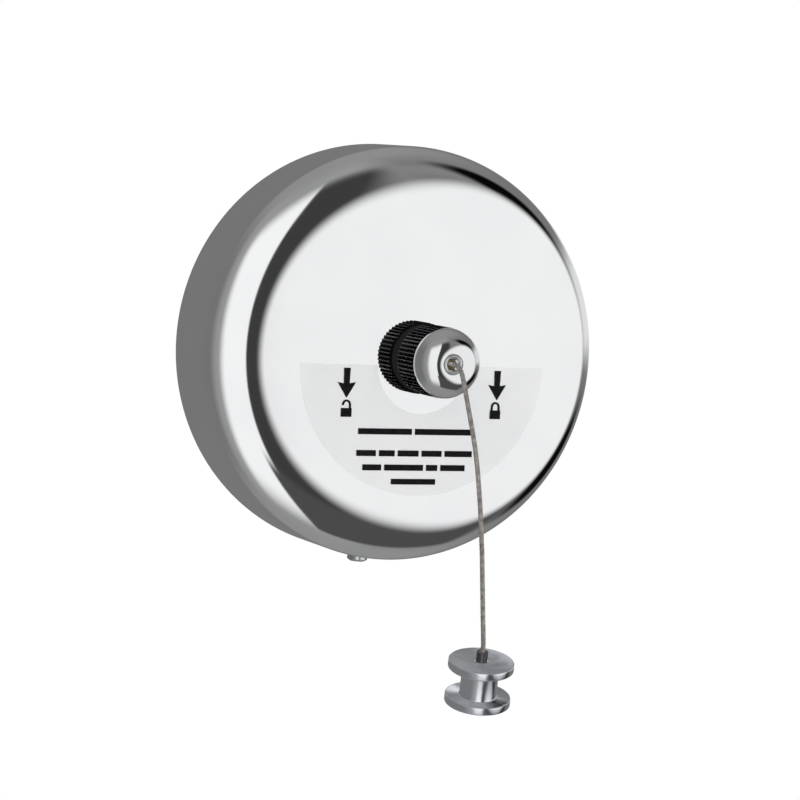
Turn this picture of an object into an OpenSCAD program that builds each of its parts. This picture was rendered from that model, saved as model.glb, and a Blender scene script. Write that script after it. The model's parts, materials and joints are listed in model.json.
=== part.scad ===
// Retractable clothesline for a wall: a round pressed case, a sprung reel of wire line,
// a knurled nose that clamps the line, and a turned knob that clips into a bracket opposite.
// Origin at the centre of the wall plate's back. +Y runs into the wall, +Z is up.

/* [Case] */
// Outer diameter of the case
case_d = 105; // [104:1:112]
// Depth of the case, from the wall to its flat face
case_depth = 28; // [28:0.5:30]
// Thickness of the pressed case
case_wall = 0.8; // [0.6:0.1:0.8]
// Diameter of the flat part of the face
face_d = 77; // [72:1:80]
// Depth over which the face rounds into the side
round_depth = 6; // [4.5:0.5:6]
// Clockwise turn of the label, seen from the front, in degrees
label_turn = 3; // [0:1:6]
// Clockwise turn of the cover screw from the bottom, seen from the front, in degrees
screw_turn = 6; // [0:1:10]

/* [Wall plate] */
// Thickness of the wall plate
plate_t = 1.6; // [1.2:0.1:1.6]
// Diameter of the circle of wall screw holes
wall_pcd = 88; // [86:1:90]
// Diameter of each wall screw hole
wall_hole_d = 4.6; // [4:0.1:5]

/* [Nose] */
// Diameter over the knurled clamp ring
ring_d = 18; // [17:0.5:20]
// Length of the knurled clamp ring
ring_len = 9; // [8:0.5:10]
// Gap between the clamp ring and the lock knob, with the line locked
lock_gap = 3.6; // [2:0.2:4]
// Length of the knurled part of the lock knob
grip_len = 11.2; // [10.4:0.2:11.8]
// Length of the knob's rounded end
dome_len = 4.4; // [4.2:0.2:5.4]
// Number of straight knurls around the rings
knurls = 54; // [40:1:60]

/* [Line and end knob] */
// Diameter of the wire line
line_d = 1.2; // [1:0.1:1.4]
// Diameter of the end knob's flanges
knob_d = 16; // [14:0.5:18]
// Length of the end knob
knob_len = 11; // [10:0.5:13]
// Diameter of the neck between the flanges
neck_d = 9; // [8:0.5:10]
// Thickness of each flange
flange_t = 2; // [1.5:0.1:2.5]
// Lean of the hanging knob, top away from the wall, in degrees
knob_lean = 15; // [0:1:18]

/* [Hidden] */

ROUND = 96;
STEPS = 14;
case_r = case_d / 2;
face_r = face_d / 2;
case_gap = 0.3;

// the nose, outwards from the face
spigot_r = 6;
thread_gap = 0.05;
washer_t = 0.6;
ring_z = case_depth + washer_t;
knob_z = ring_z + ring_len + lock_gap;
dome_z = knob_z + grip_len;
tip_z = dome_z + dome_len;
grip_r = ring_d / 2 - 0.2;
knurl_depth = 0.35;
root_in = 0.5;
lip = 0.2;
exit_z = tip_z + 2 * lip;
hole_r = 1.5;
eyelet_r = 2.5;
eyelet_depth = 1.6;
chamber_r = 5.6;
spigot_end = dome_z - 1.2;
collet_z = spigot_end - 8;
thrust_z = dome_z + 1;
thrust_t = 1.2;

// the plate inside the face that carries the mechanism
nose_plate_t = 2;
nose_plate_r = 15.5;
nose_plate_z = case_depth - case_wall - nose_plate_t;
bush_z = nose_plate_z - 1.4;
bush_r = 5;
post_pcd_r = 11.5;
post_r = 2.6;
post_screw_r = 1.2;

// the reel and its housing, outwards from the wall
back_z = 4.4;
back_t = 1.6;
housing_r = 36;
housing_wall = 1.5;
front_z = 17.4;
front_t = 1.4;
ear_r = 3.2;
ear_at = 38.5;
ear_h = 3;
reel_r = 33;
reel_z = 7;
reel_flange = 1.2;
reel_front = 15.4;
core_r = 21.5;
core_wall = 1.5;
wound_r = 25.2;
axle_r = 3;
arbor_r = 4.5;
arbor_len = 5.8;
axle_end = 20.2;
reel_bush_r = 5;
reel_bush_len = 4;
running = 0.05;
spring_t = 0.35;
spring_w = 5;
spring_turns = 7;
spring_r0 = 5;
spring_r1 = 19.2;

// the guide pulley at the rim
line_r = line_d / 2;
run_x = wound_r + line_r + 0.3;
run_z = 11.6;
pitch_r = 4;
pulley_r = 5.2;
pulley_t = 4;
pulley_x = run_x - pitch_r;
pulley_y = 36.4;
pulley_z = 16.8;
pin_r = 1.5;
pulley_far = norm([pulley_x, pulley_y]);
reach = sqrt(pulley_far * pulley_far - pitch_r * pitch_r);
reach_a = atan2(pulley_y, pulley_x) + asin(pitch_r / pulley_far);
turn_r = 5.7;
turn_z = case_depth - 0.5;

// the cover screw
screw_z = 6.5;
screw_r = 2;
screw_head_r = 2.6;
screw_head_h = 2.4;
lug_w = 14;
lug_in = 43.5;

// the label
label_t = 0.15;
label_r = 33;
label_hole_r = 12.2;
label_x = 4;
label_y = -2.5;

// The line outside: distance in front of the exit, and height.
ROUTE = [[0, 0], [1.2, 0], [2.5, -0.2], [3.7, -0.7], [4.7, -1.5], [5.5, -2.6], [6.6, -4.7],
    [7.8, -7.2], [9.1, -10], [10.5, -12.9], [12, -16.2], [13.6, -20.4], [14.9, -25.2], [15.9, -30.4],
    [16.7, -35.4], [17.2, -40.4], [17.6, -45.4], [17.8, -50.4], [18, -55.4], [18.2, -60.4],
    [18.4, -64.2], [18.4, -66.4], [18, -67.9]];
ferrule_up = 2.4;
ferrule_r = 1.38;
knob_hole_r = 1.45;
head_r = 2.4;
head_hole_r = 2.8;
head_h = 1.6;
head_depth = 2;

// Turns a shape drawn on the wall's plane, growing outwards along Z, to stand on the wall.
module out() {
    rotate([90, 0, 0]) children();
}

module at(z) {
    translate([0, 0, z]) children();
}

module ring(r_out, r_in, z, h) {
    at(z) difference() {
        cylinder(r = r_out, h = h, $fn = ROUND);
        at(-1) cylinder(r = r_in, h = h + 2, $fn = ROUND);
    }
}

module around(count, r, first) {
    for (i = [0:count - 1]) rotate(first + i * 360 / count) translate([r, 0, 0]) children();
}

function arc(cx, cy, rx, ry, a0, a1) =
    [for (i = [0:STEPS]) let (a = a0 + (a1 - a0) * i / STEPS) [cx + rx * cos(a), cy + ry * sin(a)]];

// A star with straight flanks, as a straight knurl has.
module knurl(r, z, h) {
    at(z) linear_extrude(height = h)
        polygon([for (i = [0:2 * knurls - 1]) let (a = 180 * i / knurls, q = r - (i % 2) * knurl_depth)
            [q * cos(a), q * sin(a)]]);
}

// A tube along a list of points: each ring stands square to the route there.
SIDES = 8;
function dir(p, i) = let (a = p[max(i - 1, 0)], b = p[min(i + 1, len(p) - 1)]) (b - a) / norm(b - a);
function across(t, ref) = let (u = cross(t, ref)) u / norm(u);
function tube_ring(p, i, r, ref) =
    let (t = dir(p, i), u = across(t, ref), v = cross(t, u))
    [for (k = [0:SIDES - 1]) let (a = 360 * (k + 0.5) / SIDES) p[i] + r * (cos(a) * u + sin(a) * v)];
module tube(p, r, ref) {
    n = len(p);
    points = [for (i = [0:n - 1]) each tube_ring(p, i, r, ref)];
    walls = [for (i = [0:n - 2], k = [0:SIDES - 1])
        [i * SIDES + k, i * SIDES + (k + 1) % SIDES, (i + 1) * SIDES + (k + 1) % SIDES, (i + 1) * SIDES + k]];
    first = [for (k = [SIDES - 1:-1:0]) k];
    last = [for (k = [0:SIDES - 1]) (n - 1) * SIDES + k];
    polyhedron(points = points, faces = concat([first], walls, [last]), convexity = 6);
}

module wall_plate() {
    rim_r = case_r - case_wall - case_gap;
    rim_wall = 1.5;
    rim_h = 9;
    lug_z = 0.6;
    lug_top = 11.8;
    sunk = 0.4;
    color("lightgray") out() difference() {
        union() {
            cylinder(r = rim_r, h = plate_t, $fn = ROUND);
            ring(rim_r, rim_r - rim_wall, 0, rim_h);
            rotate(-screw_turn) intersection() {
                translate([-lug_w / 2, -rim_r, lug_z]) cube([lug_w, rim_r - lug_in, lug_top - lug_z]);
                cylinder(r = rim_r - sunk, h = lug_top, $fn = ROUND);
            }
        }
        around(3, wall_pcd / 2, 90) at(-1) cylinder(d = wall_hole_d, h = plate_t + 2, $fn = 48);
        rotate(-screw_turn) translate([0, -lug_in + 1, screw_z]) rotate([90, 0, 0])
            cylinder(r = screw_r + thread_gap, h = case_r - lug_in, $fn = 48);
    }
}

module case_shell() {
    side_z = case_depth - round_depth;
    back = 0.3;
    inner_r = case_r - case_wall;
    hole = spigot_r + 0.2;
    outside = arc(face_r, side_z, case_r - face_r, round_depth, 0, 90);
    inside = arc(face_r, side_z, inner_r - face_r, round_depth - case_wall, 90, 0);
    color("silver") out() difference() {
        rotate_extrude($fn = ROUND)
            polygon(concat([[case_r, back]], outside, [[hole, case_depth], [hole, case_depth - case_wall]],
                inside, [[inner_r, back]]));
        rotate(-screw_turn) translate([0, -lug_in, screw_z]) rotate([90, 0, 0])
            cylinder(r = screw_r + 0.2, h = case_r, $fn = 48);
    }
}

module cover_screw() {
    shank = case_r - lug_in - 1.5;
    color("gainsboro") out() rotate(-screw_turn) translate([0, -case_r, screw_z]) rotate([90, 0, 0])
        difference() {
            union() {
                cylinder(r = screw_head_r, h = screw_head_h - 0.5, $fn = 48);
                at(screw_head_h - 0.5) cylinder(r1 = screw_head_r, r2 = screw_head_r - 0.8, h = 0.5, $fn = 48);
                at(-shank) cylinder(r = screw_r, h = shank + 0.1, $fn = 48);
            }
            for (a = [0, 90]) rotate(a) translate([-1.4, -0.3, screw_head_h - 0.8]) cube([2.8, 0.6, 1]);
        }
}

module label_film() {
    color("whitesmoke") out() rotate(-label_turn) translate([label_x, label_y, case_depth])
        linear_extrude(height = label_t) difference() {
            circle(r = label_r, $fn = ROUND);
            circle(r = label_hole_r, $fn = ROUND);
            translate([-label_r - 1, 0]) square([2 * label_r + 2, label_r + 1]);
        }
}

module ring_washer() {
    color("dimgray") out() ring(ring_d / 2 - 0.7, spigot_r + 0.1, case_depth, washer_t);
}

module clamp_ring() {
    chamfer = 0.5;
    color("slategray") out() difference() {
        union() {
            knurl(ring_d / 2, ring_z + chamfer, ring_len - 2 * chamfer);
            ring(ring_d / 2 - root_in, spigot_r, ring_z, ring_len);
        }
        at(ring_z - 1) cylinder(r = spigot_r + thread_gap, h = ring_len + 2, $fn = ROUND);
    }
}

module nose_tube() {
    bore_r = 2.2;
    seat_r = 3;
    color("goldenrod") out() difference() {
        union() {
            at(nose_plate_z) cylinder(r = nose_plate_r, h = nose_plate_t, $fn = ROUND);
            at(nose_plate_z) cylinder(r = spigot_r, h = spigot_end - nose_plate_z, $fn = ROUND);
        }
        at(nose_plate_z - 1) cylinder(r = bore_r, h = spigot_end, $fn = 48);
        at(nose_plate_z - 1) cylinder(r = bush_r + thread_gap, h = 5, $fn = ROUND);
        at(collet_z) cylinder(r1 = seat_r, r2 = 4.05, h = 4, $fn = ROUND);
        at(collet_z + 4) cylinder(r = 4.05, h = 5, $fn = ROUND);
        around(3, post_pcd_r, 0) at(nose_plate_z - 1) cylinder(r = post_screw_r + 0.15, h = 4, $fn = 32);
        around(3, post_pcd_r, 0) at(nose_plate_z + nose_plate_t - 1.2)
            cylinder(r1 = post_screw_r + 0.15, r2 = post_screw_r + 1.15, h = 1.21, $fn = 32);
    }
}

module line_bush() {
    bore_r = 2;
    flare = 3.7;
    flare_z = turn_z;
    end_z = nose_plate_z + 3.6;
    lip_r = 7;
    color("ivory") out() rotate_extrude($fn = ROUND)
        polygon(concat([[bore_r, end_z], [bore_r, flare_z]],
            arc(bore_r + flare, flare_z, flare, flare, 180, 265),
            [[lip_r, bush_z], [lip_r, nose_plate_z], [bush_r, nose_plate_z], [bush_r, end_z]]));
}

module collet() {
    bore_r = line_r + 0.2;
    body_r = 3.95;
    slit = 0.5;
    front = thrust_z - 0.1;
    color("darkgoldenrod") out() difference() {
        union() {
            at(collet_z + 0.4) cylinder(r1 = 3, r2 = body_r, h = 3.7, $fn = 64);
            at(collet_z + 4.1) cylinder(r = body_r, h = front - collet_z - 4.1, $fn = 64);
        }
        at(collet_z - 1) cylinder(r = bore_r, h = 20, $fn = 48);
        for (a = [30, 90, 150]) rotate(a) translate([-5, -slit / 2, collet_z]) cube([10, slit, 7]);
    }
}

module flange_screws() {
    top = nose_plate_z + nose_plate_t;
    color("silver") out() around(3, post_pcd_r, 0) difference() {
        union() {
            at(top - 1.2) cylinder(r1 = post_screw_r, r2 = post_screw_r + 1, h = 1.1, $fn = 32);
            at(top - 7) cylinder(r = post_screw_r, h = 6, $fn = 32);
        }
        for (a = [0, 90]) rotate(a) translate([-1, -0.2, top - 0.6]) cube([2, 0.4, 1]);
    }
}

module reel_housing() {
    inside_r = housing_r - housing_wall;
    slot_w = 4;
    post_z = front_z + front_t;
    ear_z = 12.6;
    ear_t = 1.6;
    color("gainsboro") out() difference() {
        union() {
            at(front_z) cylinder(r = housing_r, h = front_t, $fn = ROUND);
            ring(housing_r, inside_r, back_z + back_t, front_z - back_z - back_t + 0.1);
            around(3, ear_at, 30) at(back_z + back_t) cylinder(r = ear_r, h = ear_h, $fn = 48);
            around(3, post_pcd_r, 0) at(post_z - 0.1)
                cylinder(r = post_r, h = nose_plate_z - post_z + 0.1, $fn = 48);
            rotate(atan2(pulley_y, pulley_x)) at(ear_z) {
                translate([housing_r - 1, -4.5, 0]) cube([pulley_far - housing_r + 1, 9, ear_t]);
                translate([pulley_far, 0, 0]) cylinder(r = 4.5, h = ear_t, $fn = 48);
            }
        }
        at(back_z) cylinder(r = inside_r, h = front_z - back_z, $fn = ROUND);
        at(front_z - 1) cylinder(r = axle_r + 0.02, h = 4, $fn = 48);
        around(3, ear_at, 30) at(back_z) cylinder(r = post_screw_r + thread_gap, h = 6, $fn = 32);
        around(3, post_pcd_r, 0) at(front_z + 2) cylinder(r = post_screw_r + thread_gap, h = 9, $fn = 32);
        rotate(reach_a) translate([17, -slot_w / 2, front_z - 1]) cube([21, slot_w, 4]);
        translate([run_x - 3, 13, run_z - 2]) cube([6, 14.5, front_z - run_z + 2]);
        translate([pulley_x, pulley_y, ear_z - 1]) cylinder(r = pin_r + 0.02, h = ear_t + 2, $fn = 48);
    }
}

module housing_back() {
    color("gainsboro") out() difference() {
        union() {
            at(back_z) cylinder(r = housing_r, h = back_t, $fn = ROUND);
            around(3, ear_at, 30) at(back_z) cylinder(r = ear_r, h = back_t, $fn = 48);
        }
        at(back_z - 1) cylinder(r = axle_r + 0.02, h = back_t + 2, $fn = 48);
        around(3, ear_at, 30) at(back_z - 1) cylinder(r = post_screw_r + 0.15, h = 4, $fn = 32);
    }
}

module housing_screws() {
    head = 1;
    color("silver") out() around(3, ear_at, 30) difference() {
        union() {
            at(back_z - head) cylinder(r = 2.2, h = head, $fn = 32);
            at(back_z - 0.1) cylinder(r = post_screw_r, h = 4.4, $fn = 32);
        }
        for (a = [0, 90]) rotate(a) translate([-1.2, -0.25, back_z - head - 0.5]) cube([2.4, 0.5, 1]);
    }
}

module reel_axle() {
    arbor_z = back_z + back_t + 0.4;
    groove_z = front_z + front_t;
    color("darkgray") out() difference() {
        union() {
            at(back_z) cylinder(r = axle_r, h = axle_end - back_z, $fn = 64);
            at(arbor_z) cylinder(r = arbor_r, h = arbor_len, $fn = 64);
        }
        translate([0, -0.3, arbor_z]) cube([6, 0.6, spring_w + 0.4]);
        ring(5, axle_r - 0.5, groove_z, 0.8);
    }
}

module axle_clip() {
    z = front_z + front_t;
    color("dimgray") out() difference() {
        ring(5.2, axle_r - 0.45, z + 0.02, 0.7);
        translate([-1.6, 0, z - 1]) cube([3.2, 8, 3]);
    }
}

module power_spring() {
    per_turn = 20;
    n = spring_turns * per_turn;
    z = back_z + back_t + 0.7;
    function turn(i, off) = let (a = 360 * i / per_turn, r = spring_r0 + (spring_r1 - spring_r0) * i / n + off)
        [r * cos(a), r * sin(a)];
    color("steelblue") out() at(z) linear_extrude(height = spring_w)
        polygon(concat([for (i = [0:n]) turn(i, 0)], [for (i = [n:-1:0]) turn(i, spring_t)]));
}

module pulley_pin() {
    color("silver") out() translate([pulley_x, pulley_y, 0]) {
        at(12.6) cylinder(r = pin_r, h = pulley_z + pulley_t / 2 - 12.6 + 0.4, $fn = 48);
        at(pulley_z + pulley_t / 2 + 0.3) cylinder(r = 2.4, h = 0.8, $fn = 48);
        at(14.2) difference() {
            cylinder(r = 2.2, h = 0.3, $fn = 48);
            at(-1) cylinder(r = pin_r - 0.2, h = 3, $fn = 48);
        }
    }
}

// The line inside the case: along the rim, round the pulley, back to the middle and out.
module inner_line() {
    mid = [cos(reach_a), sin(reach_a)];
    wrap = 9;
    bend = 6;
    low = turn_z - turn_r;
    end_gap = 0.02;
    start = [[run_x, 0.2, run_z], [run_x, pulley_y / 2, (run_z + pulley_z) / 2]];
    round_pulley = [for (i = [0:wrap]) let (a = (reach_a + 90) * i / wrap)
        [pulley_x + pitch_r * cos(a), pulley_y + pitch_r * sin(a), pulley_z]];
    inward = [for (i = [1:3]) let (s = reach + (turn_r - reach) * i / 4)
        [s * mid[0], s * mid[1], pulley_z + (low - pulley_z) * i / 4]];
    turn = [for (i = [0:bend]) let (a = 90 * i / bend, s = turn_r - turn_r * sin(a))
        [s * mid[0], s * mid[1], turn_z - turn_r * cos(a)]];
    outward = [[0, 0, (turn_z + exit_z) / 2], [0, 0, exit_z - end_gap]];
    color("tan") out() tube(concat(start, round_pulley, inward, turn, outward), line_r, [-0.8, 0.6, 0.02]);
}

module reel() {
    color("white") out() difference() {
        union() {
            ring(reel_r, core_r - core_wall, reel_z, reel_flange);
            ring(core_r, core_r - core_wall, reel_z, reel_front - reel_z + 0.1);
            ring(reel_r, reel_bush_r, reel_front, reel_flange);
            ring(reel_bush_r + 1.5, reel_bush_r, reel_front + reel_flange - reel_bush_len, reel_bush_len);
        }
        translate([core_r - core_wall - 1, -0.3, reel_z - 1]) cube([2, 0.6, spring_w + 2]);
    }
}

module reel_bush() {
    color("goldenrod") out()
        ring(reel_bush_r, axle_r + running, reel_front + reel_flange - reel_bush_len, reel_bush_len);
}

module wound_line() {
    side = 0.1;
    color("tan") out()
        ring(wound_r, core_r + 0.02, reel_z + reel_flange + side, reel_front - reel_z - reel_flange - 2 * side);
}

module guide_pulley() {
    half = pulley_t / 2;
    groove = line_r + 0.2;
    color("ivory") out() translate([pulley_x, pulley_y, pulley_z]) rotate_extrude($fn = 64)
        polygon(concat([[pin_r + running, half], [pin_r + running, -half], [pulley_r, -half],
            [pulley_r, 0.25 - half]], arc(pitch_r, 0, groove, groove, -110, -250),
            [[pulley_r, half - 0.25], [pulley_r, half]]));
}

module thrust_ring() {
    color("goldenrod") out() ring(chamber_r - 0.4, hole_r, thrust_z, thrust_t);
}

module lock_knob() {
    flat_r = eyelet_r + 0.4;
    front = thrust_z + thrust_t + 0.3;
    skirt = 0.5;
    color("silver") out() difference() {
        union() {
            knurl(grip_r, knob_z + skirt, grip_len - 2 * skirt);
            at(knob_z) cylinder(r = grip_r - root_in, h = grip_len, $fn = ROUND);
            rotate_extrude($fn = ROUND) polygon(concat([[0, tip_z], [0, dome_z - 0.2], [grip_r - 0.1, dome_z - 0.2]],
                arc(flat_r, dome_z, grip_r - 0.1 - flat_r, dome_len, 0, 90)));
        }
        at(knob_z - 1) cylinder(r = spigot_r + running, h = dome_z - knob_z, $fn = ROUND);
        at(knob_z + 1) cylinder(r = chamber_r, h = front - knob_z - 1, $fn = ROUND);
        at(front - 1) cylinder(r = eyelet_r, h = 9, $fn = 64);
    }
}

module tip_eyelet() {
    z = tip_z - eyelet_depth;
    color("gainsboro") out() difference() {
        at(z) cylinder(r = eyelet_r, h = eyelet_depth + lip, $fn = 64);
        at(z - 1) cylinder(r = hole_r, h = 9, $fn = 64);
        at(tip_z + lip - 0.5) cylinder(r1 = hole_r, r2 = hole_r + 0.6, h = 0.6, $fn = 64);
    }
}

module free_line() {
    color("tan") tube([for (p = ROUTE) [0, -exit_z - p[0], p[1]]], line_r, [1, 0, 0]);
}

// The end of the line: +Z runs up the leaning knob's axis from the middle of its top.
module on_knob() {
    last = ROUTE[len(ROUTE) - 1];
    translate([0, -exit_z - last[0], last[1]]) rotate([knob_lean, 0, 0]) at(-ferrule_up) children();
}

module line_ferrule() {
    hole_end = knob_len - head_depth;
    color("gray") on_knob() {
        at(-hole_end - 0.2) cylinder(r = ferrule_r, h = hole_end + 0.2 + ferrule_up, $fn = 48);
        at(-hole_end - 0.1 - head_h) cylinder(r = head_r, h = head_h, $fn = 48);
    }
}

module end_knob() {
    edge = 0.3;
    half = knob_d / 2;
    neck = neck_d / 2;
    color("lightsteelblue") on_knob() difference() {
        rotate_extrude($fn = ROUND) polygon([[0, 0], [half - edge, 0], [half, -edge], [half, edge - flange_t],
            [half - edge, -flange_t], [neck, -flange_t], [neck, flange_t - knob_len],
            [half - edge, flange_t - knob_len], [half, flange_t - knob_len - edge],
            [half, edge - knob_len], [half - edge, -knob_len], [0, -knob_len]]);
        at(-knob_len - 1) cylinder(r = knob_hole_r, h = knob_len + 2, $fn = 48);
        at(-knob_len - 1) cylinder(r = head_hole_r, h = head_depth + 1, $fn = 48);
    }
}

wall_plate();
case_shell();
cover_screw();
label_film();
ring_washer();
clamp_ring();
nose_tube();
line_bush();
collet();
flange_screws();
reel_housing();
housing_back();
housing_screws();
reel_axle();
axle_clip();
power_spring();
pulley_pin();
inner_line();
reel();
reel_bush();
wound_line();
guide_pulley();
thrust_ring();
lock_knob();
tip_eyelet();
free_line();
line_ferrule();
end_knob();
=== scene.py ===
# Retractable clothesline: looks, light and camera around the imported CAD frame.
import json
import math

import bmesh
import bpy
from mathutils import Matrix, Vector


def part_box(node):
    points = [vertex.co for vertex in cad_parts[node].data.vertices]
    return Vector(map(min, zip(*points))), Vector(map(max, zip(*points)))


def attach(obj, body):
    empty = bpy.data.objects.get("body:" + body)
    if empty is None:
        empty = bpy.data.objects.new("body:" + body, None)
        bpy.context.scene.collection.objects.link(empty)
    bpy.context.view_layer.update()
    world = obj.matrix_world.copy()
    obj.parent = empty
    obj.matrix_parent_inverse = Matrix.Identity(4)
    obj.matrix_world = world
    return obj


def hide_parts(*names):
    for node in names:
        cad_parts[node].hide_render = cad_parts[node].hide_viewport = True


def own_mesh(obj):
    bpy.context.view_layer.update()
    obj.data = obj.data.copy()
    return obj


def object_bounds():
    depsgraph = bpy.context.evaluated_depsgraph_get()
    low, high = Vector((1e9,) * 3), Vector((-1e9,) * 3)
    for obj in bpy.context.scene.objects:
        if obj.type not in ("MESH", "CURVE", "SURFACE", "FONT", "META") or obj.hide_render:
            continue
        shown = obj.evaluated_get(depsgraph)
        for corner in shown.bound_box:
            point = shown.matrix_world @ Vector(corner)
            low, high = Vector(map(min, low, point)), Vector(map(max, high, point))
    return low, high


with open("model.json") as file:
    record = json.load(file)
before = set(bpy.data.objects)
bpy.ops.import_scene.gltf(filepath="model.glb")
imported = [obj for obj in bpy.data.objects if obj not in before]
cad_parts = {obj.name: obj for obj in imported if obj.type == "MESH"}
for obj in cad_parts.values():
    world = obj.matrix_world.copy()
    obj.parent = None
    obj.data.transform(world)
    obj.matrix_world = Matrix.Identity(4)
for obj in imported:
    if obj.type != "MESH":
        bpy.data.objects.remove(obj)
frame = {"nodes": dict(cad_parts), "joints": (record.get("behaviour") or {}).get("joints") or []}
cad_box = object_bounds()

MM = 0.001
TAU = 2 * math.pi


# ---------------------------------------------------------------- places taken from the frame
def joint(name):
    return next(j for j in frame["joints"] if j["name"] == name)


shell_low, shell_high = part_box("case_shell")
ring_low, ring_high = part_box("clamp_ring")
knob_low, knob_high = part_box("lock_knob")
case_r = shell_high[0]
face_y = shell_low[1]
ring_r = ring_high[0]
knob_r = knob_high[0]
tip_y = knob_low[1]
exit_point = Vector(joint("line_swing")["pos_m"])
line_joint = Vector(joint("bobbin_spin")["pos_m"])
bobbin_axis = Vector(joint("bobbin_spin")["axis"])
LINE_D = 1.2 * MM

# ---------------------------------------------------------------- camera
CAM_AZIMUTH = math.radians(-22)
CAM_ELEVATION = math.radians(5.5)
CAM_DISTANCE = 0.9
CAM_LENS_MM = 159
SENSOR_MM = 36
AIM_DEPTH = 0.55  # share of the case's depth
AIM_RIGHT_MM = 2.5
AIM_DOWN_MM = 12.3
back = Vector((math.sin(CAM_AZIMUTH) * math.cos(CAM_ELEVATION),
               -math.cos(CAM_AZIMUTH) * math.cos(CAM_ELEVATION), math.sin(CAM_ELEVATION)))
right = Vector((math.cos(CAM_AZIMUTH), math.sin(CAM_AZIMUTH), 0))
up = back.cross(right)
case_middle = Vector((0, face_y * AIM_DEPTH, 0))
aim = case_middle + right * AIM_RIGHT_MM * MM - up * AIM_DOWN_MM * MM
cam_data = bpy.data.cameras.new("camera")
cam_data.lens = CAM_LENS_MM
cam_data.sensor_width = SENSOR_MM
cam = bpy.data.objects.new("camera", cam_data)
cam.location = aim + back * CAM_DISTANCE
cam.rotation_mode = "QUATERNION"
cam.rotation_quaternion = (-back).to_track_quat("-Z", "Y")
bpy.context.collection.objects.link(cam)
bpy.context.scene.camera = cam

# ---------------------------------------------------------------- materials
# Texture scales are per metre, and bump depths are in metres.
NOISE_LOW, NOISE_HIGH = 0.3, 0.7  # a noise texture's values lie mostly between these


def material(name, colour, metallic=0.0, rough=0.4):
    """A Principled material with its node tree, ready for texture nodes."""
    mat = bpy.data.materials.new(name)
    mat.use_nodes = True
    shader = mat.node_tree.nodes["Principled BSDF"]
    shader.inputs["Base Color"].default_value = (*colour, 1)
    shader.inputs["Metallic"].default_value = metallic
    shader.inputs["Roughness"].default_value = rough
    return mat, mat.node_tree, shader


def link(tree, out, into):
    tree.links.new(out, into)


def object_coords(tree, scale=(1, 1, 1)):
    coords = tree.nodes.new("ShaderNodeTexCoord")
    mapping = tree.nodes.new("ShaderNodeMapping")
    mapping.inputs["Scale"].default_value = scale
    link(tree, coords.outputs["Object"], mapping.inputs["Vector"])
    return mapping.outputs["Vector"]


def noise(tree, scale, detail, rough=0.55, stretch=(1, 1, 1)):
    """A noise texture in object coordinates. stretch packs it closer along an axis."""
    vector = object_coords(tree, stretch)
    node = tree.nodes.new("ShaderNodeTexNoise")
    node.inputs["Scale"].default_value = scale
    node.inputs["Detail"].default_value = detail
    node.inputs["Roughness"].default_value = rough
    link(tree, vector, node.inputs["Vector"])
    return node.outputs["Fac"]


def two_colours(tree, shader, value, dark, light):
    """Base colour from dark to light over a texture's middle range."""
    ramp = tree.nodes.new("ShaderNodeValToRGB")
    ramp.color_ramp.elements[0].color = (*dark, 1)
    ramp.color_ramp.elements[1].color = (*light, 1)
    ramp.color_ramp.elements[0].position = NOISE_LOW
    ramp.color_ramp.elements[1].position = NOISE_HIGH
    link(tree, value, ramp.inputs["Fac"])
    link(tree, ramp.outputs["Color"], shader.inputs["Base Color"])


def two_glosses(tree, shader, value, low, high):
    """Roughness from low to high over a texture's middle range."""
    node = tree.nodes.new("ShaderNodeMapRange")
    node.inputs["From Min"].default_value = NOISE_LOW
    node.inputs["From Max"].default_value = NOISE_HIGH
    node.inputs["To Min"].default_value = low
    node.inputs["To Max"].default_value = high
    link(tree, value, node.inputs["Value"])
    link(tree, node.outputs["Result"], shader.inputs["Roughness"])


def bump(tree, shader, height, strength, distance):
    node = tree.nodes.new("ShaderNodeBump")
    node.inputs["Strength"].default_value = strength
    node.inputs["Distance"].default_value = distance
    link(tree, height, node.inputs["Height"])
    link(tree, node.outputs["Normal"], shader.inputs["Normal"])


def metal(name, light, dark, rough, grain=(1, 1, 1), grain_scale=900, grain_depth=0.00002,
          smudge=0.03, edge=1.0):
    """Bare or plated metal: a faint tone change, handling marks in the gloss, and a fine grain.

    edge below 1 keeps it darker where it is seen at a grazing angle."""
    mat, tree, shader = material(name, light, 1.0, rough)
    shader.inputs["Specular Tint"].default_value = (edge, edge, edge, 1)
    two_colours(tree, shader, noise(tree, 45, 3), dark, light)
    two_glosses(tree, shader, noise(tree, 160, 6, 0.65), rough, rough + smudge)
    bump(tree, shader, noise(tree, grain_scale, 2, stretch=grain), 0.12, grain_depth)
    return mat


def plastic(name, light, dark, rough):
    """Moulded plastic with a fine spark-eroded texture."""
    mat, tree, shader = material(name, light, 0.0, rough)
    two_colours(tree, shader, noise(tree, 60, 3), dark, light)
    two_glosses(tree, shader, noise(tree, 700, 3), rough - 0.05, rough + 0.1)
    bump(tree, shader, noise(tree, 4000, 2), 0.2, 0.00002)
    return mat


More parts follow.
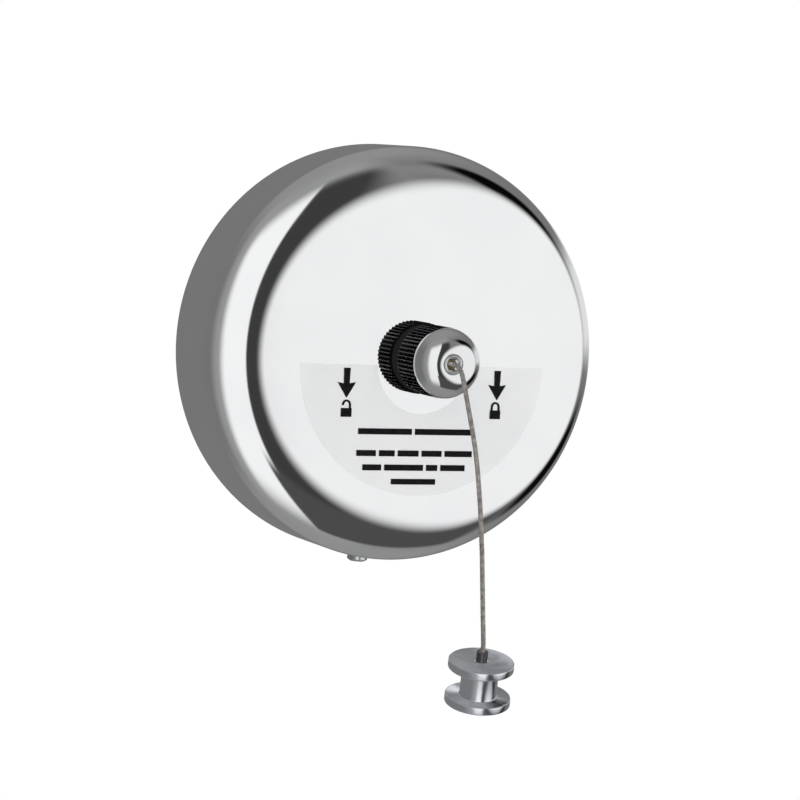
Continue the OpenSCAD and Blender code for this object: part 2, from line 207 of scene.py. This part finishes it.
def turned_metal(name, light, dark, rough, axis, pitch):
    """Machined metal: fine rings from the tool run round the axis of turning."""
    mat, tree, shader = material(name, light, 1.0, rough)
    two_colours(tree, shader, noise(tree, 120, 4), dark, light)
    two_glosses(tree, shader, noise(tree, 420, 5, 0.6), rough, rough + 0.1)
    along = tree.nodes.new("ShaderNodeVectorMath")
    along.operation = "DOT_PRODUCT"
    along.inputs[1].default_value = axis
    coords = tree.nodes.new("ShaderNodeTexCoord")
    link(tree, coords.outputs["Object"], along.inputs[0])
    wave = tree.nodes.new("ShaderNodeMath")
    wave.operation = "SINE"
    scaled = tree.nodes.new("ShaderNodeMath")
    scaled.operation = "MULTIPLY"
    scaled.inputs[1].default_value = TAU / pitch
    link(tree, along.outputs["Value"], scaled.inputs[0])
    link(tree, scaled.outputs["Value"], wave.inputs[0])
    bump(tree, shader, wave.outputs["Value"], 0.25, 0.000012)
    return mat


def rope_metal():
    mat, tree, shader = material("wire_line", (0.42, 0.39, 0.36), 0.75, 0.38)
    two_colours(tree, shader, noise(tree, 900, 4), (0.24, 0.215, 0.195), (0.56, 0.53, 0.50))
    two_glosses(tree, shader, noise(tree, 1500, 2), 0.28, 0.5)
    bump(tree, shader, noise(tree, 5000, 2), 0.3, 0.00003)
    return mat


def film():
    """The label's film, almost clear."""
    mat, tree, shader = material("label_film", (0.80, 0.805, 0.81), 0.0, 0.45)
    two_colours(tree, shader, noise(tree, 90, 3), (0.83, 0.835, 0.84), (0.88, 0.885, 0.89))
    two_glosses(tree, shader, noise(tree, 500, 3), 0.4, 0.5)
    bump(tree, shader, noise(tree, 260, 2), 0.1, 0.00002)
    shader.inputs["Alpha"].default_value = 0.08
    return mat


def ink():
    """Matt black print. Its low specular level keeps it black on the bright face."""
    mat, tree, shader = material("label_ink", (0.012, 0.012, 0.013), 0.0, 0.45)
    two_colours(tree, shader, noise(tree, 1200, 3), (0.003, 0.003, 0.0035), (0.012, 0.012, 0.013))
    two_glosses(tree, shader, noise(tree, 800, 2), 0.5, 0.65)
    shader.inputs["Specular IOR Level"].default_value = 0.05
    return mat


CASE = metal("case_chrome", (0.90, 0.905, 0.91), (0.86, 0.865, 0.875), 0.035,
             grain_scale=300, grain_depth=0.000004, smudge=0.025)
# The knurled sleeves: chrome darkened as painted shade, darkest in the flutes, with a lighter
# painted shade on the ridges. A low edge tint darkens them more at grazing angles.
KNURL_PAINTED_SHADE = metal("knurl_chrome_painted_shade", (0.025, 0.025, 0.027), (0.014, 0.014, 0.015), 0.16,
                    smudge=0.08, edge=0.4)
RIDGE_PAINTED_SHADE = metal("knurl_ridges_painted_shade", (0.16, 0.16, 0.165), (0.08, 0.08, 0.083), 0.16,
              smudge=0.1, edge=0.55)
DOME = metal("nose_chrome", (0.88, 0.885, 0.89), (0.80, 0.805, 0.815), 0.045,
             grain_scale=500, grain_depth=0.000004, smudge=0.03)
STEEL = metal("bright_steel", (0.74, 0.75, 0.76), (0.62, 0.63, 0.64), 0.16, smudge=0.08)
DARK = metal("dark_steel", (0.20, 0.20, 0.21), (0.12, 0.12, 0.125), 0.32, smudge=0.12)
PLATE = metal("plate_steel", (0.64, 0.65, 0.66), (0.52, 0.53, 0.54), 0.3,
              grain=(1, 12, 1), grain_scale=300, grain_depth=0.00004, smudge=0.12)
SPRING = metal("spring_steel", (0.25, 0.29, 0.38), (0.16, 0.18, 0.24), 0.28,
               grain=(1, 6, 1), grain_scale=600, grain_depth=0.00003, smudge=0.1)
# Brass darkened as painted shade, for the collet and the thrust ring, which sit in shade between
# the clamp ring and the knob.
BRASS_PAINTED_SHADE = metal("brass_painted_shade", (0.2, 0.15, 0.07), (0.12, 0.09, 0.04), 0.4, smudge=0.1)
BRASS = metal("brass", (0.78, 0.58, 0.26), (0.62, 0.43, 0.17), 0.24,
              grain=(1, 14, 1), grain_scale=500, grain_depth=0.00004, smudge=0.1)
WHITE = plastic("white_plastic", (0.82, 0.82, 0.80), (0.76, 0.76, 0.74), 0.42)
ZINC = turned_metal("knob_zinc", (0.92, 0.95, 0.99), (0.84, 0.87, 0.92), 0.07,
                    axis=bobbin_axis, pitch=0.16 * MM)
ROPE = rope_metal()
FILM = film()
INK = ink()


# ---------------------------------------------------------------- mesh helpers
def add_mesh(name, points, faces, mat, sharp=30):
    """Makes an object, smooth except across edges steeper than sharp degrees."""
    mesh = bpy.data.meshes.new(name)
    mesh.from_pydata([tuple(p) for p in points], [], faces)
    mesh.validate()
    mesh.update()
    mesh.materials.append(mat)
    obj = bpy.data.objects.new(name, mesh)
    bpy.context.collection.objects.link(obj)
    mesh.shade_smooth()
    mesh.set_sharp_from_angle(angle=math.radians(sharp))
    return obj


def fix_normals(obj):
    bm = bmesh.new()
    bm.from_mesh(obj.data)
    bmesh.ops.recalc_face_normals(bm, faces=bm.faces)
    bm.to_mesh(obj.data)
    bm.free()


# Lathe profiles are lists of (distance out of the wall, radius), and stand on the nose's axis.
WALL = Matrix(((1, 0, 0, 0), (0, 0, -1, 0), (0, 1, 0, 0), (0, 0, 0, 1)))


def lathe(name, profile, mat, place=WALL, turns=256, radius=None, sharp=30):
    """Turns a profile that closes on itself. radius(r, angle, z) can cut flutes."""
    points = []
    for z, r in profile:
        for k in range(turns):
            a = TAU * k / turns
            q = r if radius is None else radius(r, a, z)
            points.append(place @ Vector((q * math.cos(a), q * math.sin(a), z)))
    n = len(profile)
    faces = []
    for i in range(n):
        j = (i + 1) % n
        for k in range(turns):
            m = (k + 1) % turns
            faces.append((i * turns + k, i * turns + m, j * turns + m, j * turns + k))
    obj = add_mesh(name, points, faces, mat, sharp)
    fix_normals(obj)
    return obj


def arc(cz, cr, rz, rr, a0, a1, steps=12):
    """Points of an ellipse's arc in (z, r), with angles from the radius direction towards +z."""
    out = []
    for i in range(steps + 1):
        a = math.radians(a0 + (a1 - a0) * i / steps)
        out.append((cz + rz * math.sin(a), cr + rr * math.cos(a)))
    return out


# ---------------------------------------------------------------- the line
# Distance in front of the exit and height, in mm: the same route as in part.scad.
ROUTE = [(0, 0), (1.2, 0), (2.5, -0.2), (3.7, -0.7), (4.7, -1.5), (5.5, -2.6), (6.6, -4.7),
         (7.8, -7.2), (9.1, -10), (10.5, -12.9), (12, -16.2), (13.6, -20.4), (14.9, -25.2),
         (15.9, -30.4), (16.7, -35.4), (17.2, -40.4), (17.6, -45.4), (17.8, -50.4), (18, -55.4),
         (18.2, -60.4), (18.4, -64.2), (18.4, -66.4), (18, -67.9)]
route = [exit_point + Vector((0, -f * MM, z * MM)) for f, z in ROUTE]
CUTS = 12  # of each stretch of the route, before it is cut again at even steps
ROPE_STEP = 0.35 * MM
STRANDS = 6
POINTS_PER_STRAND = 8
STRAND_SHARE = 0.36  # a strand's radius, as a share of the rope's
LAY_LENGTH = 6.5 * MM


def smooth_path(points, step):
    """A Catmull-Rom curve through the points, cut at even steps."""
    dense = []
    for i in range(len(points) - 1):
        a = points[max(i - 1, 0)]
        b, c = points[i], points[i + 1]
        d = points[min(i + 2, len(points) - 1)]
        for k in range(CUTS):
            t = k / CUTS
            dense.append(0.5 * (2 * b + (c - a) * t + (2 * a - 5 * b + 4 * c - d) * t * t
                                + (3 * b - a - 3 * c + d) * t ** 3))
    dense.append(points[-1])
    run = [0.0]
    for p, q in zip(dense, dense[1:]):
        run.append(run[-1] + (q - p).length)
    count = max(2, round(run[-1] / step))
    out, j = [], 0
    for i in range(count + 1):
        s = run[-1] * i / count
        while j < len(run) - 2 and run[j + 1] < s:
            j += 1
        t = (s - run[j]) / (run[j + 1] - run[j])
        out.append(dense[j].lerp(dense[j + 1], min(1, max(0, t))))
    return out, run[-1]


def rope(name, points, diameter, step, mat):
    """Six strands round a core, as one closed surface whose lobed section turns along the path."""
    path, length = smooth_path(points, step)
    around = STRANDS * POINTS_PER_STRAND
    strand_r = diameter / 2 * STRAND_SHARE
    core = diameter / 2 - strand_r
    verts, run = [], 0.0
    side = Vector((1, 0, 0))
    for i, p in enumerate(path):
        if i:
            run += (p - path[i - 1]).length
        t = (path[min(i + 1, len(path) - 1)] - path[max(i - 1, 0)]).normalized()
        side = (side - t * side.dot(t)).normalized()
        other = t.cross(side)
        turn = TAU * run / LAY_LENGTH
        for k in range(around):
            a = TAU * k / around
            lobe = (a * STRANDS / TAU + 0.5) % 1 - 0.5
            off = lobe * TAU / STRANDS
            bulge = math.sqrt(max(0.0, strand_r ** 2 - (core * math.sin(off)) ** 2))
            r = core * math.cos(off) + bulge
            verts.append(p + side * r * math.cos(a + turn) + other * r * math.sin(a + turn))
    faces = []
    for i in range(len(path) - 1):
        here, after = i * around, (i + 1) * around
        for k in range(around):
            m = (k + 1) % around
            faces.append((here + k, here + m, after + m, after + k))
    faces.append(tuple(reversed(range(around))))
    faces.append(tuple((len(path) - 1) * around + k for k in range(around)))
    obj = add_mesh(name, verts, faces, mat, 40)
    fix_normals(obj)
    return obj, path, length


line_rope, line_path, line_length = rope("hanging_wire_line", route, LINE_D, ROPE_STEP, ROPE)
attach(line_rope, "hanging_line")
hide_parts("free_line")

# ---------------------------------------------------------------- end knob, on the line's crimp
FERRULE_UP = 2.4 * MM
KNOB_R = 8 * MM
NECK_R = 4.5 * MM
KNOB_LEN = 11 * MM
FLANGE = 2 * MM
HOLE_R = 1.45 * MM
COUNTERBORE_R = 2.8 * MM
COUNTERBORE = 2 * MM
RIM_EDGE = 0.3 * MM
FILLET = 0.25 * MM
turn_to_axis = Vector((0, 0, 1)).rotation_difference(bobbin_axis).to_matrix().to_4x4()
knob_top = line_joint - bobbin_axis * FERRULE_UP
ON_KNOB = Matrix.Translation(knob_top) @ turn_to_axis


def end_knob():
    """A bobbin from its top at z = 0 down to -KNOB_LEN: flange, neck, flange and counterbore."""
    def rim(z, a0, a1):
        return arc(z, KNOB_R - RIM_EDGE, RIM_EDGE, RIM_EDGE, a0, a1, 5)

    def neck_corner(z, a0, a1):
        return arc(z, NECK_R + FILLET, FILLET, -FILLET, a0, a1, 4)

    profile = [(0, HOLE_R + FILLET), (0, KNOB_R - RIM_EDGE)]
    profile += rim(-RIM_EDGE, 90, 0) + rim(-FLANGE + RIM_EDGE, 0, -90)
    profile += [(-FLANGE, NECK_R + FILLET)] + neck_corner(-FLANGE - FILLET, 90, 0)
    profile += neck_corner(-KNOB_LEN + FLANGE + FILLET, 0, -90)
    profile += rim(-KNOB_LEN + FLANGE - RIM_EDGE, 90, 0) + rim(-KNOB_LEN + RIM_EDGE, 0, -90)
    profile += [(-KNOB_LEN, COUNTERBORE_R + FILLET), (-KNOB_LEN + FILLET, COUNTERBORE_R)]
    profile += [(-KNOB_LEN + COUNTERBORE, COUNTERBORE_R), (-KNOB_LEN + COUNTERBORE, HOLE_R)]
    profile += [(-FILLET, HOLE_R)]
    return lathe("end_knob_turned", profile, ZINC, ON_KNOB, 192, sharp=35)


bobbin = end_knob()
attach(bobbin, "bobbin")
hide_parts("end_knob")

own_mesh(line_rope)


# ---------------------------------------------------------------- case
def case_cover():
    """The pressed shell: side wall, rounded edge, and a flat face with a hole for the nose."""
    flat_r = 38.5 * MM
    wall = 0.8 * MM
    under_film = 0.02 * MM  # the label film's back would otherwise lie in the face's plane
    depth = -face_y - under_film
    round_z = 6 * MM
    side_z = depth - round_z
    hole = 6.2 * MM
    rim = 0.3 * MM
    bevel = 0.2 * MM
    outside = arc(side_z, flat_r, round_z, case_r - flat_r, 0, 90, 48)
    inside = arc(side_z, flat_r, round_z - wall, case_r - wall - flat_r, 90, 0, 24)
    profile = [(rim, case_r - wall), (rim, case_r - bevel), (rim + bevel, case_r)]
    profile += [(side_z * t, case_r) for t in (0.25, 0.5, 0.75)] + outside
    profile += [(depth, flat_r * t) for t in (0.9, 0.75, 0.6, 0.45, 0.3)]
    profile += [(depth, hole), (depth - wall, hole)] + inside
    return lathe("case_cover", profile, CASE, turns=360, sharp=40)


cover = case_cover()
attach(cover, "case")
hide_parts("case_shell")

# ---------------------------------------------------------------- nose
KNURLS = 54
KNURL_DEPTH = 0.45 * MM
KNURL_CHAMFER = 0.6 * MM
KNURL_SKIN = 1.2 * MM  # points further in than this belong to the bore
RIDGE_SHARE, FLANK_SHARE = 0.12, 0.76  # of half a tooth
LAND_DEPTH = 0.05 * MM  # faces within this of the outside are the knurl's ridges
NOSE_BORE_R = 6.05 * MM
DOME_LEN = 4.4 * MM
GRIP_END = tip_y + DOME_LEN


def flutes(z0, z1, outer):
    """A straight knurl between z0 and z1, run out by a chamfer at each end."""
    def radius(r, a, z):
        if r < outer - KNURL_SKIN:
            return r
        tooth = abs(((a * KNURLS / TAU) % 1) * 2 - 1)
        cut = KNURL_DEPTH * min(1, max(0, (tooth - RIDGE_SHARE) / FLANK_SHARE))
        cone = outer - max(0, KNURL_CHAMFER - min(z - z0, z1 - z))
        return min(r - cut, cone)
    return radius


def knurled(name, y_low, y_high, outer):
    """A knurled sleeve on the nose, its chrome darkened by painted shade, less on the ridges."""
    z0, z1 = -y_high, -y_low
    zs = [z0 + KNURL_CHAMFER * i / 3 for i in range(4)]
    zs += [z1 - KNURL_CHAMFER + KNURL_CHAMFER * i / 3 for i in range(4)]
    profile = [(z0, NOSE_BORE_R), (z0, outer - KNURL_CHAMFER)] + [(z, outer) for z in zs]
    profile += [(z1, outer - KNURL_CHAMFER), (z1, NOSE_BORE_R)]
    obj = lathe(name, profile, KNURL_PAINTED_SHADE, turns=KNURLS * 12, radius=flutes(z0, z1, outer),
                sharp=28)
    # The ridge faces take the lighter painted shade, and the flutes keep the darker one.
    obj.data.materials.append(RIDGE_PAINTED_SHADE)
    for face in obj.data.polygons:
        if math.hypot(face.center.x, face.center.z) > outer - LAND_DEPTH:
            face.material_index = 1
    return obj


ring = knurled("clamp_ring_knurled", ring_low[1], ring_high[1], ring_r)
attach(ring, "case")
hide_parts("clamp_ring")

grip = knurled("lock_knob_grip", GRIP_END - 0.1 * MM, knob_high[1], knob_r)


def knob_dome():
    """The lock knob's rounded end, with a seat for the eyelet."""
    z0 = -GRIP_END
    seat_r = 2.5 * MM
    seat_z = -tip_y - 1.7 * MM
    flat = seat_r + 0.35 * MM
    outer = knob_r - 0.1 * MM
    tuck = 0.2 * MM  # how far it starts inside the grip
    profile = [(z0 - tuck, outer - 1.5 * MM), (z0 - tuck, outer - 0.3 * MM), (z0, outer)]
    profile += arc(z0, flat, DOME_LEN, outer - flat, 0, 90, 32)[1:]
    profile += [(-tip_y, seat_r + 0.15 * MM), (-tip_y - 0.2 * MM, seat_r), (seat_z, seat_r)]
    profile += [(seat_z, outer - 3 * MM), (z0 + 0.4 * MM, outer - 1.5 * MM)]
    return lathe("lock_knob_dome", profile, DOME, turns=224, sharp=35)


dome = knob_dome()
dome.parent = grip
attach(grip, "nose_knob")
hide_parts("lock_knob")


def eyelet_ring():
    """The tip's eyelet: a short tube whose lip is rounded outside and in."""
    z = -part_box("tip_eyelet")[0][1]
    z0 = -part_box("tip_eyelet")[1][1]
    outer, bore = 2.48 * MM, 1.5 * MM
    bevel = 0.1 * MM
    bore_z = z - 1.2 * MM
    mid = (outer + bore + bevel) / 2
    lip = (outer - bore - bevel) / 2
    profile = [(z0, outer)] + arc(z - lip, mid, lip, lip, 0, 90, 8)
    profile += arc(z - lip, mid, lip, -lip, 90, 0, 8) + [(bore_z, bore), (z0, bore)]
    return lathe("tip_eyelet_ring", profile, STEEL, turns=96, sharp=35)


eyelet = eyelet_ring()
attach(eyelet, "nose_knob")
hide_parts("tip_eyelet")

# ---------------------------------------------------------------- label print
# Places on the label are in mm from its centre.
LABEL_TURN = math.radians(3)
LABEL_X_MM, LABEL_Z_MM = 4, -2.5
PRINT_LIFT = 0.03 * MM
PRINT_T = 0.05 * MM
ARROWS_AT = [(-20.4, -0.9), (20.6, -0.9)]
OPEN_LOCK_AT = (-20.2, -11.9)
SHUT_LOCK_AT = (20.4, -11.9)
OPEN_LIFT = 0.7
ARROW = [(-0.85, 0), (-0.75, -3.9), (-2.4, -3.6), (0.1, -7.5), (2.4, -3.6), (0.75, -3.9),
         (0.85, 0)]
LOCK_BODY = [(-1.4, -1.3), (1.4, -1.3), (1.4, 0.9), (-1.4, 0.9)]
ROWS_X = -1.2
ROWS = [(-17.5, [14.5, 15.6], 1.5), (-23, [5.2, 4.2, 5.6, 5.4, 7.4], 1.5),
        (-26.6, [5, 10.5, 3, 6.6], 1.5), (-30.1, [12], 1.4)]
WORD_GAP = 0.9
label_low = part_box("label_film")[0]
LABEL = (Matrix.Translation((0, label_low[1] - PRINT_LIFT, 0))
         @ Matrix.Rotation(math.pi / 2, 4, "X") @ Matrix.Rotation(-LABEL_TURN, 4, "Z")
         @ Matrix.Translation((LABEL_X_MM * MM, LABEL_Z_MM * MM, 0)))


def plate(name, outlines):
    """Thin printed shapes: each outline is a list of (x, y) in mm, counter-clockwise."""
    points, faces = [], []
    for outline in outlines:
        n, start = len(outline), len(points)
        points += [LABEL @ Vector((x * MM, y * MM, 0)) for x, y in outline]
        points += [LABEL @ Vector((x * MM, y * MM, PRINT_T)) for x, y in outline]
        faces.append(tuple(start + n + i for i in range(n)))
        faces.append(tuple(start + n - 1 - i for i in range(n)))
        for i in range(n):
            j = (i + 1) % n
            faces.append((start + i, start + j, start + n + j, start + n + i))
    obj = add_mesh(name, points, faces, INK, 30)
    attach(obj, "case")
    return obj


def moved(outline, place):
    return [(x + place[0], y + place[1]) for x, y in outline]


def strip(points, width):
    """A line of constant width through a few points, as one outline."""
    left, rear = [], []
    for i, p in enumerate(points):
        a = points[max(i - 1, 0)]
        b = points[min(i + 1, len(points) - 1)]
        d = Vector((b[0] - a[0], b[1] - a[1])).normalized() * width / 2
        left.append((p[0] - d.y, p[1] + d.x))
        rear.append((p[0] + d.y, p[1] - d.x))
    return rear + left[::-1]


def shackle(lift):
    """A padlock's shackle over its body. lift raises the free end of an open one."""
    half_w, rise, foot = 0.95, 1.1, -0.8
    bow = [(half_w * math.cos(math.pi * i / 10), rise * math.sin(math.pi * i / 10))
           for i in range(11)]
    return moved(strip([(half_w, foot)] + bow + [(-half_w, foot + lift)], 0.5), (0, 1.7))


def word_bars(x, y, words, size):
    """A row of plain bars that stands for a line of small print, centred on x."""
    x -= (sum(words) + WORD_GAP * (len(words) - 1)) / 2
    row = []
    for w in words:
        row.append([(x, y), (x + w, y), (x + w, y + size), (x, y + size)])
        x += w + WORD_GAP
    return row


plate("label_arrows", [moved(ARROW, place) for place in ARROWS_AT])
plate("label_padlocks",
      [moved(LOCK_BODY, OPEN_LOCK_AT), moved(shackle(OPEN_LIFT), OPEN_LOCK_AT),
       moved(LOCK_BODY, SHUT_LOCK_AT), moved(shackle(0), SHUT_LOCK_AT)])
plate("label_lines",
      [bar for y, words, size in ROWS for bar in word_bars(ROWS_X, y, words, size)])

# ---------------------------------------------------------------- finishes of kept CAD nodes
FINISH = {
    "wall_plate": PLATE, "cover_screw": STEEL, "label_film": FILM, "ring_washer": DARK,
    "nose_tube": BRASS, "line_bush": WHITE, "collet": BRASS_PAINTED_SHADE, "flange_screws": STEEL,
    "reel_housing": WHITE, "housing_back": WHITE, "housing_screws": STEEL, "reel_axle": STEEL,
    "axle_clip": DARK, "power_spring": SPRING, "pulley_pin": STEEL, "inner_line": ROPE,
    "reel": WHITE, "reel_bush": BRASS, "wound_line": ROPE, "guide_pulley": WHITE,
    "thrust_ring": BRASS_PAINTED_SHADE, "line_ferrule": DARK,
}
for name, mat in FINISH.items():
    mesh = frame["nodes"][name].data
    if not mesh.materials:
        mesh.materials.append(mat)
    for i in range(len(mesh.materials)):
        mesh.materials[i] = mat

# The polished face shows no mirror image of what stands in front of it, as in the photo.
in_front = [ring, grip, dome, eyelet, bobbin, line_rope]
in_front += [frame["nodes"][n] for n in ("ring_washer", "nose_tube", "line_bush", "collet",
                                         "thrust_ring", "inner_line", "line_ferrule")]
for piece in in_front:
    piece.visible_glossy = False


# ---------------------------------------------------------------- light
def sky():
    """A studio seen in the chrome: white and black cards before grey walls.

    Azimuth is 0 straight out of the wall and grows to the right, and both it and elevation are
    in degrees. The camera sees plain white."""
    world = bpy.data.worlds.new("studio")
    bpy.context.scene.world = world
    world.use_nodes = True
    tree = world.node_tree
    tree.nodes.clear()

    def math_node(kind, a, b=None):
        node = tree.nodes.new("ShaderNodeMath")
        node.operation = kind
        for i, value in enumerate((a, b)):
            if value is None:
                continue
            if isinstance(value, (int, float)):
                node.inputs[i].default_value = value
            else:
                link(tree, value, node.inputs[i])
        return node.outputs["Value"]

    def ramp(value, start, end, low=0.0, high=1.0):
        node = tree.nodes.new("ShaderNodeMapRange")
        node.interpolation_type = "SMOOTHSTEP"
        for key, v in zip(("From Min", "From Max", "To Min", "To Max"), (start, end, low, high)):
            node.inputs[key].default_value = v
        link(tree, value, node.inputs["Value"])
        return node.outputs["Result"]

    coords = tree.nodes.new("ShaderNodeTexCoord")
    split = tree.nodes.new("ShaderNodeSeparateXYZ")
    link(tree, coords.outputs["Generated"], split.inputs["Vector"])
    degrees = 180 / math.pi
    outwards = math_node("MULTIPLY", split.outputs["Y"], -1)
    azimuth = math_node("MULTIPLY", math_node("ARCTAN2", split.outputs["X"], outwards), degrees)
    elevation = math_node("MULTIPLY", math_node("ARCSINE", split.outputs["Z"]), degrees)

    def mix(below, mask, value):
        """Lays a card of brightness value over what is below it."""
        kept = math_node("MULTIPLY", below, math_node("SUBTRACT", 1, mask))
        return math_node("ADD", kept, math_node("MULTIPLY", mask, value))

    def panel(below, az, el, soft_az, soft_el, value):
        """A rectangle: its two azimuths, its two elevations, and how soft each of them is."""
        mask = ramp(azimuth, az[0] - soft_az[0], az[0] + soft_az[0])
        for m in (ramp(azimuth, az[1] + soft_az[1], az[1] - soft_az[1]),
                  ramp(elevation, el[0] - soft_el[0], el[0] + soft_el[0]),
                  ramp(elevation, el[1] + soft_el[1], el[1] - soft_el[1])):
            mask = math_node("MULTIPLY", mask, m)
        return mix(below, mask, value)

    def oval(below, centre, radii, tilt, soft, value):
        """An ellipse turned by tilt degrees. soft is a share of its radii."""
        dx = math_node("SUBTRACT", azimuth, centre[0])
        dy = math_node("SUBTRACT", elevation, centre[1])
        c, s = math.cos(math.radians(tilt)), math.sin(math.radians(tilt))
        u = math_node("ADD", math_node("MULTIPLY", dx, c / radii[0]),
                      math_node("MULTIPLY", dy, s / radii[0]))
        v = math_node("SUBTRACT", math_node("MULTIPLY", dy, c / radii[1]),
                      math_node("MULTIPLY", dx, s / radii[1]))
        far = math_node("SQRT", math_node("ADD", math_node("MULTIPLY", u, u),
                                          math_node("MULTIPLY", v, v)))
        return mix(below, ramp(far, 1 + soft, 1 - soft), value)

    # Grey walls, lighter towards floor and ceiling. Each card then covers those before it.
    light = ramp(math_node("ABSOLUTE", elevation), 30, 70, 0.24, 0.37)
    # left: a grey surround and a white card in it
    light = panel(light, (-60, 20), (-60, 60), (18, 10), (15, 15), 0.42)
    light = panel(light, (-34, 2), (-44, 34), (9, 1.2), (14, 8), 1.25)
    # right: grey above, a dark strip beside the white card, and dark below
    light = panel(light, (2, 62), (24, 36), (1.5, 16), (5, 5), 0.3)
    light = panel(light, (2, 20), (-34, 36), (1.0, 4), (10, 8), 0.06)
    light = panel(light, (-2, 64), (-54, -20), (1.2, 10), (3, 3), 0.095)
    # black patches at the upper and the lower right, and a white strip at the far right
    light = oval(light, (58, 28), (22, 9), -28, 0.35, 0.003)
    light = oval(light, (84, -28), (20, 10), 30, 0.4, 0.004)
    light = panel(light, (80, 154), (-6, 14), (8, 4), (4, 6), 1.0)
    # the round white card that the flat face mirrors
    light = oval(light, (47.5, -5.5), (31.5, 28.3), 0, 0.15, 1.2)

    glow = tree.nodes.new("ShaderNodeBackground")
    link(tree, light, glow.inputs["Strength"])
    plain = tree.nodes.new("ShaderNodeBackground")
    plain.inputs["Strength"].default_value = 1.0
    plain.inputs["Color"].default_value = (1, 1, 1, 1)
    rays = tree.nodes.new("ShaderNodeLightPath")
    both = tree.nodes.new("ShaderNodeMixShader")
    out = tree.nodes.new("ShaderNodeOutputWorld")
    link(tree, rays.outputs["Is Camera Ray"], both.inputs["Fac"])
    link(tree, glow.outputs["Background"], both.inputs[1])
    link(tree, plain.outputs["Background"], both.inputs[2])
    link(tree, both.outputs["Shader"], out.inputs["Surface"])


sky()


def softbox(name, place, look_at, size, power):
    data = bpy.data.lights.new(name, "AREA")
    data.shape = "DISK"
    data.size = size
    data.energy = power
    lamp = bpy.data.objects.new(name, data)
    lamp.location = place
    lamp.rotation_mode = "QUATERNION"
    lamp.rotation_quaternion = (Vector(look_at) - Vector(place)).to_track_quat("-Z", "Y")
    lamp.visible_glossy = False
    bpy.context.collection.objects.link(lamp)


softbox("key", (-0.4, -0.9, 0.8), case_middle, size=1.5, power=12)
softbox("fill", (0.8, -0.6, 0.3), case_middle, size=1.2, power=5)
softbox("rear", (0.1, 0.9, 0.6), case_middle, size=0.8, power=8)

FLOOR_DROP = 0.2
FLOOR_R = 0.75
FLOOR_SIDES = 96


def floor():
    """A plain pale disc below the object."""
    mat, tree, shader = material("floor", (0.9, 0.9, 0.9), 0.0, 0.6)
    two_colours(tree, shader, noise(tree, 6, 2), (0.88, 0.88, 0.88), (0.92, 0.92, 0.92))
    floor_z = cad_box[0][2] - FLOOR_DROP
    angles = [TAU * k / FLOOR_SIDES for k in range(FLOOR_SIDES)]
    points = [(FLOOR_R * math.cos(a), FLOOR_R * math.sin(a), floor_z) for a in angles]
    obj = add_mesh("floor", points, [tuple(range(FLOOR_SIDES))], mat)
    obj.visible_glossy = False


floor()
bpy.context.scene.view_settings.view_transform = "Standard"
bpy.context.scene.view_settings.look = "None"
